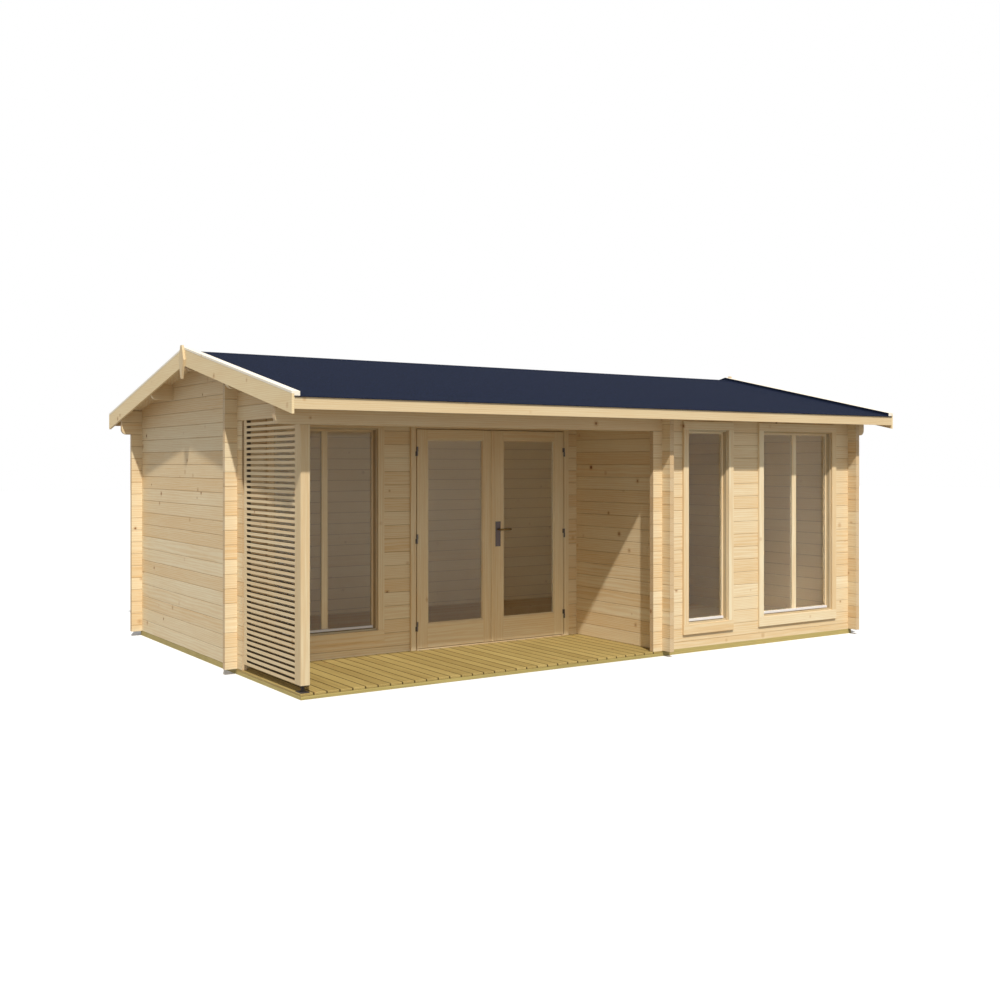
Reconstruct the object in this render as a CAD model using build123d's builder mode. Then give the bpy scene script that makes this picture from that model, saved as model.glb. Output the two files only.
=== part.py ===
from build123d import *
import os
from math import cos, radians, sin, tan

# Timber garden cabin with a corner veranda, built of interlocking logs.
# Millimetres. X runs along the front from left to right, Y from front to rear, Z up.
# The origin is the centre of the footprint at ground level, so the ridge lies over y = 0.

os.makedirs("parts", exist_ok=True)

# ------------------------------------------------------------ driving dimensions

# walls
length = 5786             # over the outer faces of the gable walls
depth = 3715              # over the outer faces of the front and rear walls
veranda_width = 3345      # left gable's outer face to the side wall
veranda_depth = 1202      # front to the door wall's outer face
eaves_rise = 224          # lintel logs' underside to the roof boards, over the walls' outer faces
roof_pitch = 12.2         # degrees
log_thick = 44
log_course = 114          # height that each log adds to its wall
log_vee = 3.5             # chamfer beside each joint between logs
log_end = 100             # logs run this far past every corner
sill_courses = 1          # full logs below the windows, on top of the half log
lintel_course = 16        # the course of the front and rear walls that runs over doors and windows
louvre_course = 17        # the gable course that closes the louvre's top
fit = 0.3                 # clearance between pieces that meet

# ground works, floor and deck
base_height = 45          # underside of the lowest logs
beam_width = 70
joist_width = 45
joist_spacing = 600
floor_thick = 19
deck_thick = 19
deck_boards = 33
deck_gap = 5
deck_trim = 20            # board that closes the deck's front edge

# roof
eave_overhang = 326       # wall face to the fascia's outer face
verge_overhang = 192      # gable face to the end of the purlins
roof_board_thick = 19
roof_board_width = 96
roof_board_vee = 4
felt_thick = 5
felt_drip = 9             # felt stands this far past the fascia
fascia_thick = 20
fascia_height = 82
barge_thick = 18
barge_height = 134
barge_rise = 38.5         # bargeboard's top above the underside of the roof boards
cap_thick = 16
cap_width = 61
cap_lip = 1               # cap stands this far past the bargeboard's face
finial_thick = 18
finial_top = 30           # above the bargeboards' apex
finial_shoulder = 92      # below the bargeboards' apex
finial_tip = 245          # below the bargeboards' apex
finial_widths = (36, 120, 20)
purlin_depth = 140
purlin_offset = 922       # ridge line to the middle of the other purlins
nose_radius = 50          # rounding under each purlin's end

# veranda post and louvre
post_width = 71
post_depth = 102
post_clear = 100          # underside of the post above the ground
foot_plate = 5
foot_rod = 24
foot_margin = 6
louvre_stud = 45
louvre_gap = 47           # stud to the ends of the gable logs
slat_count = 45
slat_height = 22
slat_thick = 40           # depth of a slat from the outside of the screen to the inside

# windows: outer edge of the casing, then what lies inside it
lintel_notch = 53         # openings reach this far up into the logs over them
casing_thick = 20
casing_side = 59          # widths of the casing boards
casing_head = 72
casing_foot = 88
side_lap = 24             # casing over the logs beside the opening
head_lap = 40
foot_lap = 54
inner_casing_thick = 14
jamb_show = 14            # box frame that shows inside the casing's edges
sash_recess = 40          # wall's outer face to the sash
sash_thick = 30
sash_stile = 18           # widths of the sash's members
sash_head = 18
sash_foot = 26
mullion_width = 56
drip_height = 20          # strip under the panes that throws water off
drip_reach = 24
pane_recess = 8           # sash's face to the glass
glass_thick = 6
window_1_place = 233      # side wall to the casing
window_1_width = 602
window_2_place = 1160     # side wall to the casing
window_2_width = 1047
window_3_place = 244      # left gable's outer face to the casing
window_3_width = 1047

# double door
door_place = 1562         # left gable's outer face to the opening
leaf_width = 782
leaf_thick = 40
leaf_low = 60
leaf_notch = 19           # leaves reach this far above the lintel logs' underside
leaf_gap = 6              # between the two leaves
leaf_bevel = 3            # meeting edges lean back so that the leaves can pass
bead_width = 12
bead_step = 8             # beads lie this far behind the leaf's faces
swing_gap = 5             # leaf to frame
stile_width = 105
top_rail = 83
bottom_rail = 203
jamb_width = 40
stop_width = 12
door_casing_width = 52
threshold_height = 10
strip_width = 25          # strip on the left leaf, along its meeting edge
strip_thick = 12
hinge_radius = 7
hinge_knuckle = 40
hinge_pin = 8
hinge_bore = 8.6
hinge_wing = 14
hinge_wing_thick = 2.5
hinge_inset = 190

# lock plates and lever
lock_x = 46               # leaf's meeting edge to the spindle
lock_low = 907
lock_high = 1130
lock_width = 54
lock_thick = 3
spindle_z = 1059
spindle_diameter = 9
spindle_bore = 12         # hole in the leaf; the plates' holes are close to the spindle
lever_length = 122
lever_reach = 46          # leaf face to the middle of the lever
lever_diameter = 17

# ------------------------------------------------------------ worked out from them

left = -length / 2
right = length / 2
front = -depth / 2
rear = depth / 2
slope = tan(radians(roof_pitch))
plumb = 1 / cos(radians(roof_pitch))      # upright height of one unit of roof thickness
half_course = log_course / 2
sill_top = base_height + half_course + sill_courses * log_course
lintel_low = base_height + half_course + lintel_course * log_course
louvre_top = base_height + louvre_course * log_course
ridge_under = lintel_low + eaves_rise + slope * depth / 2
courses = int((ridge_under - base_height) / log_course) + 2

left_wall_x = left + log_thick / 2
right_wall_x = right - log_thick / 2
side_wall_x = left + veranda_width + log_thick / 2
front_wall_y = front + log_thick / 2
rear_wall_y = rear - log_thick / 2
door_face = front + veranda_depth
door_wall_y = door_face + log_thick / 2

opening_high = lintel_low + lintel_notch
casing_low = sill_top - foot_lap
casing_high = opening_high + head_lap
verge = length / 2 + verge_overhang
eave = depth / 2 + eave_overhang
beam_top = base_height - fit

window_places = {
    "window_1": (left + veranda_width + window_1_place, window_1_width, front, 1),
    "window_2": (left + veranda_width + window_2_place, window_2_width, front, 2),
    "window_3": (left + window_3_place, window_3_width, door_face, 2),
}

door_low_x = left + door_place
door_wide = 2 * (fit + jamb_width + swing_gap + leaf_width) + leaf_gap
door_high_x = door_low_x + door_wide
door_mid = door_low_x + door_wide / 2
leaf_high = lintel_low + leaf_notch
leaf_front = door_face - casing_thick
leaf_rear = leaf_front + leaf_thick
stop_front = leaf_rear + swing_gap
head_low = leaf_high + swing_gap
hinge_y = leaf_front - hinge_radius - 1
hinge_side = leaf_gap / 2 + leaf_width + swing_gap / 2     # door's middle to a hinge pin
hinge_heights = (leaf_low + hinge_inset, (leaf_low + leaf_high) / 2, leaf_high - hinge_inset)


def roof_under(y):
    """Underside of the roof boards at a distance y from the ridge line."""
    return ridge_under - slope * abs(y)


def finish(builder, node):
    """Name a finished sub-part and write its STEP file."""
    builder.part.label = node
    export_step(builder.part, f"parts/{node}.step")


def log_stack(begin, end, z_low, z_high, first_joint):
    """Stack of logs along a straight wall: its section has a V groove on both faces at every joint.

    begin and end are points (x, y) on the wall's centre line, at the two ends of the logs.
    """
    along = Vector(end[0] - begin[0], end[1] - begin[1], 0)
    section_plane = Plane(origin=(*begin, 0), x_dir=Vector(0, 0, 1).cross(along), z_dir=along)
    joints = [first_joint + log_course * k for k in range(-1, courses + 1)]
    grooves = [(side * log_thick / 2, z) for z in joints if z_low <= z <= z_high for side in (-1, 1)]
    with BuildSketch(section_plane) as section:
        with Locations((0, (z_low + z_high) / 2)):
            Rectangle(log_thick, z_high - z_low)
        with Locations(*grooves):
            Rectangle(log_vee * 2 ** 0.5, log_vee * 2 ** 0.5, rotation=45, mode=Mode.SUBTRACT)
    return extrude(section.sketch, amount=along.length)


def front_logs(x_begin, x_end, y, z_low, z_high):
    """Logs of a wall that runs along X; their joints lie half a course above the gable's."""
    return log_stack((x_begin, y), (x_end, y), z_low, z_high, base_height + half_course)


def gable_logs(y_begin, y_end, x, z_low, z_high):
    """Logs of a wall that runs along Y."""
    return log_stack((x, y_begin), (x, y_end), z_low, z_high, base_height)


def crossings(points, first_height):
    """Centres of the notches at each crossing (x, y): one for every course of the other wall."""
    return [(x, y, first_height + log_course * k) for x, y in points for k in range(courses)]


def nose_cutter(end_x, z_low):
    """What is cut from a log end to round its lower corner: a square less a disc, run along Y."""
    inward = -1 if end_x > 0 else 1
    with BuildSketch(Plane.XZ) as corner:
        with Locations((end_x + inward * nose_radius / 2, z_low + nose_radius / 2)):
            Rectangle(nose_radius, nose_radius)
        with Locations((end_x + inward * nose_radius, z_low + nose_radius)):
            Circle(nose_radius, mode=Mode.SUBTRACT)
    return extrude(corner.sketch, amount=depth, both=True)


def under_roof_block():
    """All the room below the roof boards, which trims the tops of walls and purlins."""
    with BuildSketch(Plane.YZ) as gable:
        with BuildLine():
            Polyline((-eave, 0), (eave, 0), (eave, roof_under(eave) - fit),
                     (0, ridge_under - fit), (-eave, roof_under(eave) - fit), close=True)
        make_face()
    return extrude(gable.sketch, amount=length, both=True)


# Room for a crossing log's neck, and for a purlin's end.
under_roof = under_roof_block()
notch_in_gable = (log_thick + 1, log_thick + 2 * fit, half_course + fit)
notch_in_front = (log_thick + 2 * fit, log_thick + 1, half_course + fit)
purlin_slot = (log_thick + 1, log_thick + 2 * fit)
gable_neck_height = base_height + half_course      # middle of the lowest gable neck
front_neck_height = base_height                    # middle of the lowest front neck

# ------------------------------------------------------------ ground works

joist_rows = int((rear - door_face - 2 * beam_width) / joist_spacing)
joist_step = (rear - door_face - beam_width) / (joist_rows + 1)
with BuildPart() as foundation_beams:
    side_beam_x = left + veranda_width + beam_width
    beam_runs = [
        (side_beam_x - beam_width, right, front, front + beam_width),
        (left, right, rear - beam_width, rear),
        (left, left + beam_width, door_face, rear - beam_width - fit),
        (right - beam_width, right, front + beam_width + fit, rear - beam_width - fit),
        (left + beam_width + fit, side_beam_x - beam_width - fit, door_face, door_face + beam_width),
        (side_beam_x - beam_width, side_beam_x, front + beam_width + fit, door_face + beam_width),
        (side_beam_x + fit, right - beam_width - fit,
         door_face + beam_width / 2 - joist_width, door_face + beam_width / 2),
        (side_beam_x + fit, right - beam_width - fit,
         front + veranda_depth / 2 - joist_width / 2, front + veranda_depth / 2 + joist_width / 2),
    ]
    for row in range(joist_rows):
        joist_y = door_face + beam_width / 2 + joist_step * (row + 1)
        beam_runs.append((left + beam_width + fit, right - beam_width - fit,
                          joist_y - joist_width / 2, joist_y + joist_width / 2))
    for x_low, x_high, y_low, y_high in beam_runs:
        with Locations(((x_low + x_high) / 2, (y_low + y_high) / 2, beam_top / 2)):
            Box(x_high - x_low, y_high - y_low, beam_top)
finish(foundation_beams, "foundation_beams")

# The room's floor is two slabs of boards, cut round the log ends that stand into the room.
with BuildPart() as room_floor:
    floor_slabs = [
        (left + log_thick + fit, right - log_thick - fit, door_face + log_thick + 2 * fit,
         rear - log_thick - fit),
        (side_wall_x + log_thick / 2 + fit, right - log_thick - fit, front + log_thick + fit,
         door_face + log_thick),
    ]
    for x_low, x_high, y_low, y_high in floor_slabs:
        with Locations(((x_low + x_high) / 2, (y_low + y_high) / 2, base_height + floor_thick / 2)):
            Box(x_high - x_low, y_high - y_low, floor_thick)
    with Locations((side_wall_x, door_wall_y, base_height)):
        Box(log_thick + 2 * fit, log_thick + 2 * (log_end + fit), 3 * floor_thick, mode=Mode.SUBTRACT)
        Box(log_thick + 2 * (log_end + fit), log_thick + 2 * fit, 3 * floor_thick, mode=Mode.SUBTRACT)
finish(room_floor, "room_floor")

# Deck boards run from the door wall to the front, on three bearers that carry them.
deck_low_x = left + fit
deck_wide = veranda_width - 2 * fit
deck_pitch = (deck_wide + deck_gap) / deck_boards
deck_long = veranda_depth - deck_trim - fit
bearer_height = beam_top - deck_thick
with BuildPart() as veranda_deck:
    with Locations((deck_low_x + deck_wide / 2, front + deck_trim + deck_long / 2, beam_top - deck_thick / 2)):
        with GridLocations(deck_pitch, 0, deck_boards, 1):
            Box(deck_pitch - deck_gap, deck_long, deck_thick)
    bearer_rows = [front + deck_trim + beam_width / 2, front + veranda_depth / 2, door_face - fit - beam_width / 2]
    with Locations(*[(deck_low_x + deck_wide / 2, y, bearer_height / 2) for y in bearer_rows]):
        Box(deck_wide, beam_width, bearer_height)
    with Locations((deck_low_x + deck_wide / 2, front + deck_trim / 2, beam_top / 2)):
        Box(deck_wide, deck_trim, beam_top)
finish(veranda_deck, "veranda_deck")

# ------------------------------------------------------------ log walls along Y

left_upper = gable_logs(front + log_thick + fit, door_face, left_wall_x, louvre_top, ridge_under)
left_main = gable_logs(door_face - log_end, rear + log_end, left_wall_x, base_height, ridge_under)
with BuildPart() as left_gable_wall:
    add(left_main)
    add(left_upper)
    add(under_roof, mode=Mode.INTERSECT)
    with Locations(*crossings([(left_wall_x, rear_wall_y), (left_wall_x, door_wall_y)], front_neck_height)):
        Box(*notch_in_gable, mode=Mode.SUBTRACT)
    for purlin_y in (-purlin_offset, 0, purlin_offset):
        with Locations((left_wall_x, purlin_y, roof_under(abs(purlin_y) - log_thick / 2))):
            Box(*purlin_slot, 2 * (purlin_depth + fit), mode=Mode.SUBTRACT)
finish(left_gable_wall, "left_gable_wall")

right_main = gable_logs(front - log_end, rear + log_end, right_wall_x, base_height, ridge_under)
with BuildPart() as right_gable_wall:
    add(right_main)
    add(under_roof, mode=Mode.INTERSECT)
    with Locations(*crossings([(right_wall_x, rear_wall_y), (right_wall_x, front_wall_y)], front_neck_height)):
        Box(*notch_in_gable, mode=Mode.SUBTRACT)
    for purlin_y in (-purlin_offset, 0, purlin_offset):
        with Locations((right_wall_x, purlin_y, roof_under(abs(purlin_y) - log_thick / 2))):
            Box(*purlin_slot, 2 * (purlin_depth + fit), mode=Mode.SUBTRACT)
finish(right_gable_wall, "right_gable_wall")

side_main = gable_logs(front - log_end, door_face + log_thick + log_end, side_wall_x, base_height, ridge_under)
with BuildPart() as side_wall:
    add(side_main)
    add(under_roof, mode=Mode.INTERSECT)
    with Locations(*crossings([(side_wall_x, front_wall_y), (side_wall_x, door_wall_y)], front_neck_height)):
        Box(*notch_in_gable, mode=Mode.SUBTRACT)
    with Locations((side_wall_x, -purlin_offset, roof_under(purlin_offset - log_thick / 2))):
        Box(*purlin_slot, 2 * (purlin_depth + fit), mode=Mode.SUBTRACT)
finish(side_wall, "side_wall")

# ------------------------------------------------------------ log walls along X

front_wall_low_x = side_wall_x - log_thick / 2 - log_end
front_corners = [(side_wall_x, front_wall_y), (right_wall_x, front_wall_y)]
door_corners = [(left_wall_x, door_wall_y), (side_wall_x, door_wall_y)]
rear_corners = [(left_wall_x, rear_wall_y), (right_wall_x, rear_wall_y)]
openings_x = {
    name: (x_low + side_lap, x_low + width - side_lap)
    for name, (x_low, width, wall_face, panes) in window_places.items()
}
door_opening_high = head_low + jamb_width + fit

front_sill_logs = front_logs(front_wall_low_x, right + log_end, front_wall_y, base_height, sill_top)
with BuildPart() as front_wall_sill:
    add(front_sill_logs)
    with Locations(*crossings(front_corners, gable_neck_height)):
        Box(*notch_in_front, mode=Mode.SUBTRACT)
finish(front_wall_sill, "front_wall_sill")

front_pier_ends = [
    (front_wall_low_x, openings_x["window_1"][0] - fit),
    (openings_x["window_1"][1] + fit, openings_x["window_2"][0] - fit),
    (openings_x["window_2"][1] + fit, right + log_end),
]
front_pier_logs = [front_logs(x_low, x_high, front_wall_y, sill_top + fit, lintel_low - fit)
                   for x_low, x_high in front_pier_ends]
with BuildPart() as front_wall_piers:
    for pier_logs in front_pier_logs:
        add(pier_logs)
    with Locations(*crossings(front_corners, gable_neck_height)):
        Box(*notch_in_front, mode=Mode.SUBTRACT)
finish(front_wall_piers, "front_wall_piers")

# The top logs of the front run on over the veranda, from verge to verge, as the eaves purlin.
front_lintel_logs = front_logs(-verge, verge, front_wall_y, lintel_low, roof_under(front_wall_y))
front_noses = [nose_cutter(-verge, lintel_low), nose_cutter(verge, lintel_low)]
with BuildPart() as front_top_logs:
    add(front_lintel_logs)
    add(under_roof, mode=Mode.INTERSECT)
    with Locations(*crossings(front_corners, gable_neck_height)):
        Box(*notch_in_front, mode=Mode.SUBTRACT)
    for x_low, x_high in (openings_x["window_1"], openings_x["window_2"]):
        with Locations(((x_low + x_high) / 2, front_wall_y, opening_high - log_course)):
            Box(x_high - x_low, log_thick + 1, 2 * log_course, mode=Mode.SUBTRACT)
    for nose in front_noses:
        add(nose, mode=Mode.SUBTRACT)
finish(front_top_logs, "front_top_logs")

door_wall_low_x = left - log_end
door_wall_high_x = side_wall_x + log_thick / 2 + log_end
door_sill_logs = front_logs(door_wall_low_x, door_low_x - fit, door_wall_y, base_height, sill_top)
with BuildPart() as door_wall_sill:
    add(door_sill_logs)
    with Locations(*crossings(door_corners, gable_neck_height)):
        Box(*notch_in_front, mode=Mode.SUBTRACT)
finish(door_wall_sill, "door_wall_sill")

door_pier_ends = [
    (door_wall_low_x, openings_x["window_3"][0] - fit, sill_top + fit),
    (openings_x["window_3"][1] + fit, door_low_x - fit, sill_top + fit),
    (door_high_x + fit, door_wall_high_x, base_height),
]
door_pier_logs = [front_logs(x_low, x_high, door_wall_y, z_low, lintel_low - fit)
                  for x_low, x_high, z_low in door_pier_ends]
with BuildPart() as door_wall_piers:
    for pier_logs in door_pier_logs:
        add(pier_logs)
    with Locations(*crossings(door_corners, gable_neck_height)):
        Box(*notch_in_front, mode=Mode.SUBTRACT)
finish(door_wall_piers, "door_wall_piers")

door_head_logs = front_logs(door_wall_low_x, door_wall_high_x, door_wall_y, lintel_low, ridge_under)
with BuildPart() as door_wall_head:
    add(door_head_logs)
    add(under_roof, mode=Mode.INTERSECT)
    with Locations(*crossings(door_corners, gable_neck_height)):
        Box(*notch_in_front, mode=Mode.SUBTRACT)
    head_notches = [(*openings_x["window_3"], opening_high), (door_low_x, door_high_x, door_opening_high)]
    for x_low, x_high, z_high in head_notches:
        with Locations(((x_low + x_high) / 2, door_wall_y, z_high - log_course)):
            Box(x_high - x_low, log_thick + 1, 2 * log_course, mode=Mode.SUBTRACT)
finish(door_wall_head, "door_wall_head")

rear_logs = front_logs(left - log_end, right + log_end, rear_wall_y, base_height, roof_under(rear_wall_y))
rear_top_logs = front_logs(-verge, verge, rear_wall_y, lintel_low, roof_under(rear_wall_y))
with BuildPart() as rear_wall:
    add(rear_logs)
    add(rear_top_logs)
    add(under_roof, mode=Mode.INTERSECT)
    with Locations(*crossings(rear_corners, gable_neck_height)):
        Box(*notch_in_front, mode=Mode.SUBTRACT)
    for nose in front_noses:
        add(nose, mode=Mode.SUBTRACT)
finish(rear_wall, "rear_wall")

# ------------------------------------------------------------ purlins

for node, purlin_y in (("front_purlin", -purlin_offset), ("ridge_purlin", 0), ("rear_purlin", purlin_offset)):
    purlin_high = roof_under(max(abs(purlin_y) - log_thick / 2, 0))
    purlin_noses = [nose_cutter(end_x, purlin_high - purlin_depth) for end_x in (-verge, verge)]
    with BuildPart() as purlin:
        with Locations((0, purlin_y, purlin_high - purlin_depth / 2)):
            Box(2 * verge, log_thick, purlin_depth)
        add(under_roof, mode=Mode.INTERSECT)
        for nose in purlin_noses:
            add(nose, mode=Mode.SUBTRACT)
    finish(purlin, node)

# ------------------------------------------------------------ roof

# The front slope is drawn looking down it from the ridge; the rear slope is its mirror image.
down_slope = Vector(0, -cos(radians(roof_pitch)), -sin(radians(roof_pitch)))
front_slope = Plane(origin=(0, 0, ridge_under), x_dir=(1, 0, 0), z_dir=down_slope)
board_joints = int(2 * verge / roof_board_width)
boards_eave = eave - fascia_thick - fit
with BuildPart() as roof_boards_front:
    with BuildSketch(front_slope):
        with Locations((0, roof_board_thick / 2)):
            Rectangle(2 * verge, roof_board_thick)
        with GridLocations(roof_board_width, 0, board_joints, 1):
            Rectangle(roof_board_vee, roof_board_vee, rotation=45, mode=Mode.SUBTRACT)
    extrude(amount=eave * plumb + roof_board_thick)
    with Locations((0, -(boards_eave + fit / 2) / 2, ridge_under)):
        Box(2 * verge, boards_eave - fit / 2, ridge_under, mode=Mode.INTERSECT)
finish(roof_boards_front, "roof_boards_front")

with BuildPart() as roof_boards_rear:
    mirror(roof_boards_front.part, about=Plane.XZ)
finish(roof_boards_rear, "roof_boards_rear")

with BuildPart() as roof_felt_front:
    with BuildSketch(front_slope):
        with Locations((0, roof_board_thick + fit + felt_thick / 2)):
            Rectangle(2 * verge, felt_thick)
    extrude(amount=(eave + felt_drip) * plumb + roof_board_thick)
    with Locations((0, -(eave + felt_drip + fit / 2) / 2, ridge_under)):
        Box(2 * verge, eave + felt_drip - fit / 2, ridge_under, mode=Mode.INTERSECT)
finish(roof_felt_front, "roof_felt_front")

with BuildPart() as roof_felt_rear:
    mirror(roof_felt_front.part, about=Plane.XZ)
finish(roof_felt_rear, "roof_felt_rear")

boards_rise = roof_board_thick * plumb
fascia_low = roof_under(eave) + boards_rise - fascia_height
with BuildPart() as fascia_front:
    with BuildSketch(Plane.YZ):
        with BuildLine():
            Polyline((-eave, fascia_low), (fascia_thick - eave, fascia_low),
                     (fascia_thick - eave, roof_under(eave - fascia_thick) + boards_rise),
                     (-eave, roof_under(eave) + boards_rise), close=True)
        make_face()
    extrude(amount=verge, both=True)
finish(fascia_front, "fascia_front")

with BuildPart() as fascia_rear:
    mirror(fascia_front.part, about=Plane.XZ)
finish(fascia_rear, "fascia_rear")


def verge_strip(x, low_rise, high_rise):
    """Outline, in the upright plane at x, of a strip that follows the front slope from eave to ridge.

    The rises are heights above the underside of the roof boards.
    """
    with BuildSketch(Plane.YZ.offset(x)) as strip:
        with BuildLine():
            Polyline((-eave, roof_under(eave) + low_rise), (-fit / 2, ridge_under + low_rise),
                     (-fit / 2, ridge_under + high_rise), (-eave, roof_under(eave) + high_rise),
                     close=True)
        make_face()
    return strip.sketch


barge_inner = verge + fit
barge_outer = barge_inner + barge_thick
cap_outer = barge_outer + cap_lip
cap_inner = cap_outer - cap_width
apex = ridge_under + barge_rise
felt_rise = (roof_board_thick + fit + felt_thick) * plumb
cap_low = barge_rise + fit
cap_high = barge_rise + fit + cap_thick * plumb
barge_outline = verge_strip(-barge_outer, barge_rise - barge_height, barge_rise)
cap_outline = verge_strip(-cap_outer, cap_low, cap_high)
cap_batten_outline = verge_strip(-verge, felt_rise + fit, cap_high)

with BuildPart() as left_bargeboards:
    extrude(barge_outline, amount=barge_thick)
    mirror(about=Plane.XZ)
finish(left_bargeboards, "left_bargeboards")

with BuildPart() as right_bargeboards:
    mirror(left_bargeboards.part, about=Plane.YZ)
finish(right_bargeboards, "right_bargeboards")

# A cap lies on each bargeboard, with a batten under it that holds the felt's edge.
with BuildPart() as left_verge_caps:
    extrude(cap_outline, amount=cap_width)
    extrude(cap_batten_outline, amount=verge - cap_inner)
    with Locations((-cap_outer, 0, apex)):
        Box(2 * cap_lip, finial_widths[1] + 2 * fit, 4 * finial_shoulder, mode=Mode.SUBTRACT)
    mirror(about=Plane.XZ)
finish(left_verge_caps, "left_verge_caps")

with BuildPart() as right_verge_caps:
    mirror(left_verge_caps.part, about=Plane.YZ)
finish(right_verge_caps, "right_verge_caps")

with BuildPart() as left_finial:
    with BuildSketch(Plane.YZ.offset(-barge_outer - fit)):
        with BuildLine():
            top_half, shoulder_half, tip_half = (width / 2 for width in finial_widths)
            Polyline((-top_half, apex + finial_top), (top_half, apex + finial_top),
                     (shoulder_half, apex - finial_shoulder), (tip_half, apex - finial_tip),
                     (-tip_half, apex - finial_tip), (-shoulder_half, apex - finial_shoulder), close=True)
        make_face()
    extrude(amount=-finial_thick)
finish(left_finial, "left_finial")

with BuildPart() as right_finial:
    mirror(left_finial.part, about=Plane.YZ)
finish(right_finial, "right_finial")

# ------------------------------------------------------------ veranda post and louvre

post_x = left + post_width / 2
post_y = front + post_depth / 2
tongue_depth = post_depth - log_thick - fit
with BuildPart() as corner_post:
    with Locations((post_x, post_y, (post_clear + lintel_low - fit) / 2)):
        Box(post_width, post_depth, lintel_low - fit - post_clear)
    with Locations((post_x, front + post_depth - tongue_depth / 2, (post_clear + louvre_top - fit) / 2)):
        Box(post_width, tongue_depth, louvre_top - fit - post_clear)
    chamfer(corner_post.edges().filter_by(Axis.Z).group_by(Axis.Y)[0], length=log_vee)
finish(corner_post, "corner_post")

with BuildPart() as post_foot:
    for plate_low in (base_height, post_clear - fit - foot_plate):
        with Locations((post_x, post_y, plate_low + foot_plate / 2)):
            Box(post_width - foot_margin, post_depth - foot_margin, foot_plate)
    with Locations((post_x, post_y, (base_height + post_clear - fit) / 2)):
        Cylinder(foot_rod / 2, post_clear - fit - base_height)
finish(post_foot, "post_foot")

# Each slat runs from the post to a stud that hangs from the gable log above.
stud_front = door_face - log_end - louvre_gap - louvre_stud
slat_pitch = (louvre_top - post_clear) / slat_count
slat_long = stud_front - (front + post_depth + fit)
with BuildPart() as louvre_screen:
    with Locations((left + louvre_stud / 2, stud_front + louvre_stud / 2, (post_clear + louvre_top - fit) / 2)):
        Box(louvre_stud, louvre_stud, louvre_top - fit - post_clear)
    slat_heights = [post_clear + slat_pitch * k + slat_height / 2 for k in range(slat_count)]
    with Locations(*[(left + slat_thick / 2, stud_front - slat_long / 2, z) for z in slat_heights]):
        Box(slat_thick, slat_long, slat_height)
finish(louvre_screen, "louvre_screen")

# ------------------------------------------------------------ windows

clear_low = casing_low + casing_foot + jamb_show
clear_high = casing_high - casing_head - jamb_show
glass_low = clear_low + sash_foot
glass_high = clear_high - sash_head
clear_z = (clear_low + clear_high) / 2
panes_z = (glass_low + glass_high) / 2
pane_high = glass_high - glass_low
all_panes = []
for node, (x_low, width, wall_face, panes) in window_places.items():
    middle_x = x_low + width / 2
    frame_wide = width - 2 * (side_lap + fit)
    clear_wide = width - 2 * (casing_side + jamb_show)
    panes_wide = clear_wide - 2 * sash_stile
    pane_wide = (panes_wide - (panes - 1) * mullion_width) / panes
    pane_pitch = pane_wide + mullion_width
    sash_face = wall_face + sash_recess
    with BuildPart() as window_frame:
        # casing boards on the outside and on the inside
        for back_y, amount in ((wall_face - fit, casing_thick), (wall_face + log_thick + fit, -inner_casing_thick)):
            with BuildSketch(Plane.XZ.offset(-back_y)):
                with Locations((middle_x, (casing_low + casing_high) / 2)):
                    Rectangle(width, casing_high - casing_low)
                with Locations((middle_x, clear_z)):
                    Rectangle(clear_wide + 2 * jamb_show, clear_high - clear_low + 2 * jamb_show,
                              mode=Mode.SUBTRACT)
            extrude(amount=amount)
        # box frame through the opening
        with BuildSketch(Plane.XZ.offset(fit - wall_face)):
            with Locations((middle_x, (sill_top + opening_high) / 2)):
                Rectangle(frame_wide, opening_high - sill_top - 2 * fit)
            with Locations((middle_x, clear_z)):
                Rectangle(clear_wide, clear_high - clear_low, mode=Mode.SUBTRACT)
        extrude(amount=-fit - sash_recess - sash_thick)
        # sash, with the mullion between two panes
        with BuildSketch(Plane.XZ.offset(-sash_face)):
            with Locations((middle_x, clear_z)):
                Rectangle(clear_wide, clear_high - clear_low)
            with Locations((middle_x, panes_z)):
                with GridLocations(pane_pitch, 0, panes, 1):
                    Rectangle(pane_wide, pane_high, mode=Mode.SUBTRACT)
        extrude(amount=-sash_thick)
        # drip strip over the foot of the sash
        with Locations((middle_x, sash_face - drip_reach / 2, glass_low - drip_height / 2)):
            Box(panes_wide, drip_reach, drip_height)
    finish(window_frame, f"{node}_frame")
    all_panes.append((middle_x, sash_face, pane_wide, pane_pitch, panes))

with BuildPart() as window_glass:
    for middle_x, sash_face, pane_wide, pane_pitch, panes in all_panes:
        with Locations((middle_x, sash_face + pane_recess + glass_thick / 2, panes_z)):
            with GridLocations(pane_pitch, 0, panes, 1):
                Box(pane_wide - 2 * fit, glass_thick, pane_high - 2 * fit)
finish(window_glass, "window_glass")

# ------------------------------------------------------------ door frame

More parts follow.
